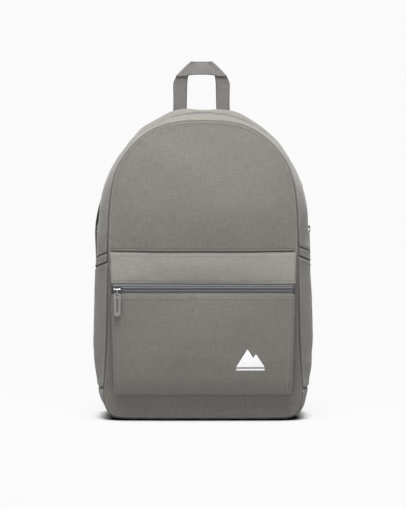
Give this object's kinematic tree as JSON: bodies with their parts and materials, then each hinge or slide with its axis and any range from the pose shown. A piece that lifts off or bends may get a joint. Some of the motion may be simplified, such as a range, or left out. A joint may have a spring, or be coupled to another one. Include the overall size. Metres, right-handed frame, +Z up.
{
  "type": "daypack",
  "caption": "Soft backpack with an arched zipped opening that folds forward, a zipped front pocket, a laptop sleeve, a grab handle and two adjustable shoulder straps.",
  "frame": {"origin": "centre of the overall box in X and Y, on the resting plane in Z", "axes": "+Z up, -Y the front with the pocket, +X the viewer's right from the front"},
  "size_m": [0.3188, 0.2347, 0.5085],
  "materials": {
    "canvas": "heathered taupe-grey polyester canvas, matt plain weave",
    "lining": "smooth woven lining",
    "spacer_mesh": "black spacer mesh over foam",
    "zip_tape": "grey coil zip tape",
    "webbing": "ribbed grey webbing",
    "zip_metal": "dark nickel plated",
    "puller_rubber": "satin moulded",
    "moulded_lock": "satin black",
    "transfer_print": "flat printed transfer"
  },
  "bodies": {
    "pack": {"front_lower_panel": "canvas", "rear_gusset": "canvas", "bottom_panel": "canvas", "main_zip_rear_half": "zip_tape", "main_zip_end_left": "zip_tape", "main_zip_end_right": "zip_tape", "pocket_lower_panel": "canvas", "pocket_upper_panel": "canvas", "pocket_zip_upper_half": "zip_tape", "pocket_zip_lower_half": "zip_tape", "pocket_zip_end_left": "canvas", "pocket_zip_end_right": "canvas", "pocket_transfer": "transfer_print", "back_panel": "spacer_mesh", "strap_yoke": "canvas", "laptop_sleeve": "lining", "sleeve_closure_strap": "webbing", "front_gusset_end_left": "canvas", "zip_end_band_left": "canvas", "side_panel_left": "canvas", "back_pad_left": "spacer_mesh", "lower_tab_left": "canvas", "strap_neck_left": "canvas", "strap_webbing_left": "webbing", "front_gusset_end_right": "canvas", "zip_end_band_right": "canvas", "side_panel_right": "canvas", "back_pad_right": "spacer_mesh", "lower_tab_right": "canvas", "strap_neck_right": "canvas", "strap_webbing_right": "webbing"},
    "flap": {"front_upper_panel": "canvas", "front_gusset_strip": "canvas", "main_zip_front_half": "zip_tape"},
    "handle": {"grab_handle": "webbing"},
    "pocket_slider": {"pocket_slider": "zip_metal"},
    "pocket_pull": {"pocket_pull_link": "zip_metal", "pocket_pull_tab": "puller_rubber"},
    "main_slider_left": {"main_slider_left": "zip_metal"},
    "main_pull_left": {"main_pull_link_left": "zip_metal", "main_pull_tab_left": "puller_rubber"},
    "strap_left": {"strap_pad_left": "canvas", "lock_keeper_left": "webbing"},
    "buckle_left": {"ladder_lock_left": "moulded_lock", "webbing_tail_left": "webbing"},
    "main_slider_right": {"main_slider_right": "zip_metal"},
    "main_pull_right": {"main_pull_link_right": "zip_metal", "main_pull_tab_right": "puller_rubber"},
    "strap_right": {"strap_pad_right": "canvas", "lock_keeper_right": "webbing"},
    "buckle_right": {"ladder_lock_right": "moulded_lock", "webbing_tail_right": "webbing"}
  },
  "joints": [
    {"name": "flap_fold", "type": "hinge", "parent": "pack", "child": "flap", "pos_m": [0, -0.0928, 0.285], "axis": [1, 0, 0], "range_deg": [0, 60]},
    {"name": "handle_swing", "type": "hinge", "parent": "pack", "child": "handle", "pos_m": [0, 0.0402, 0.4378], "axis": [1, 0, 0], "range_deg": [-72, 60], "stiffness_Nm_per_rad": 0.06},
    {"name": "pocket_slide", "type": "slide", "parent": "pack", "child": "pocket_slider", "axis": [1, 0, 0], "range_m": [0, 0.244]},
    {"name": "pocket_pull_swing", "type": "hinge", "parent": "pocket_slider", "child": "pocket_pull", "pos_m": [-0.1225, -0.1125, 0.191], "axis": [-1, 0, 0], "range_deg": [0, 150]},
    {"name": "main_slide_left", "type": "hinge", "parent": "pack", "child": "main_slider_left", "pos_m": [0, -0.0328, 0.29], "axis": [0, 1, 0], "range_deg": [0, 92.4]},
    {"name": "main_pull_swing_left", "type": "hinge", "parent": "main_slider_left", "child": "main_pull_left", "pos_m": [-0.15176, -0.0328, 0.27405], "axis": [0, 1, 0], "range_deg": [0, 88]},
    {"name": "strap_swing_left", "type": "hinge", "parent": "pack", "child": "strap_left", "pos_m": [-0.046, 0.0556, 0.396], "axis": [-0.2662, -0.0053, -0.9639], "range_deg": [-30, 30], "deforming": ["strap_neck_left", "strap_webbing_left"]},
    {"name": "lock_tilt_left", "type": "hinge", "parent": "strap_left", "child": "buckle_left", "pos_m": [-0.12901, 0.08865, 0.14078], "axis": [0.9923, -0.0467, -0.115], "range_deg": [-14, 14]},
    {"name": "main_slide_right", "type": "hinge", "parent": "pack", "child": "main_slider_right", "pos_m": [0, -0.0328, 0.29], "axis": [0, -1, 0], "range_deg": [0, 92.4]},
    {"name": "main_pull_swing_right", "type": "hinge", "parent": "main_slider_right", "child": "main_pull_right", "pos_m": [0.15176, -0.0328, 0.27405], "axis": [0, -1, 0], "range_deg": [0, 88]},
    {"name": "strap_swing_right", "type": "hinge", "parent": "pack", "child": "strap_right", "pos_m": [0.046, 0.0556, 0.396], "axis": [0.2662, -0.0053, -0.9639], "range_deg": [-30, 30], "deforming": ["strap_neck_right", "strap_webbing_right"]},
    {"name": "lock_tilt_right", "type": "hinge", "parent": "strap_right", "child": "buckle_right", "pos_m": [0.12901, 0.08865, 0.14078], "axis": [0.9923, 0.0467, 0.115], "range_deg": [-14, 14]}
  ]
}
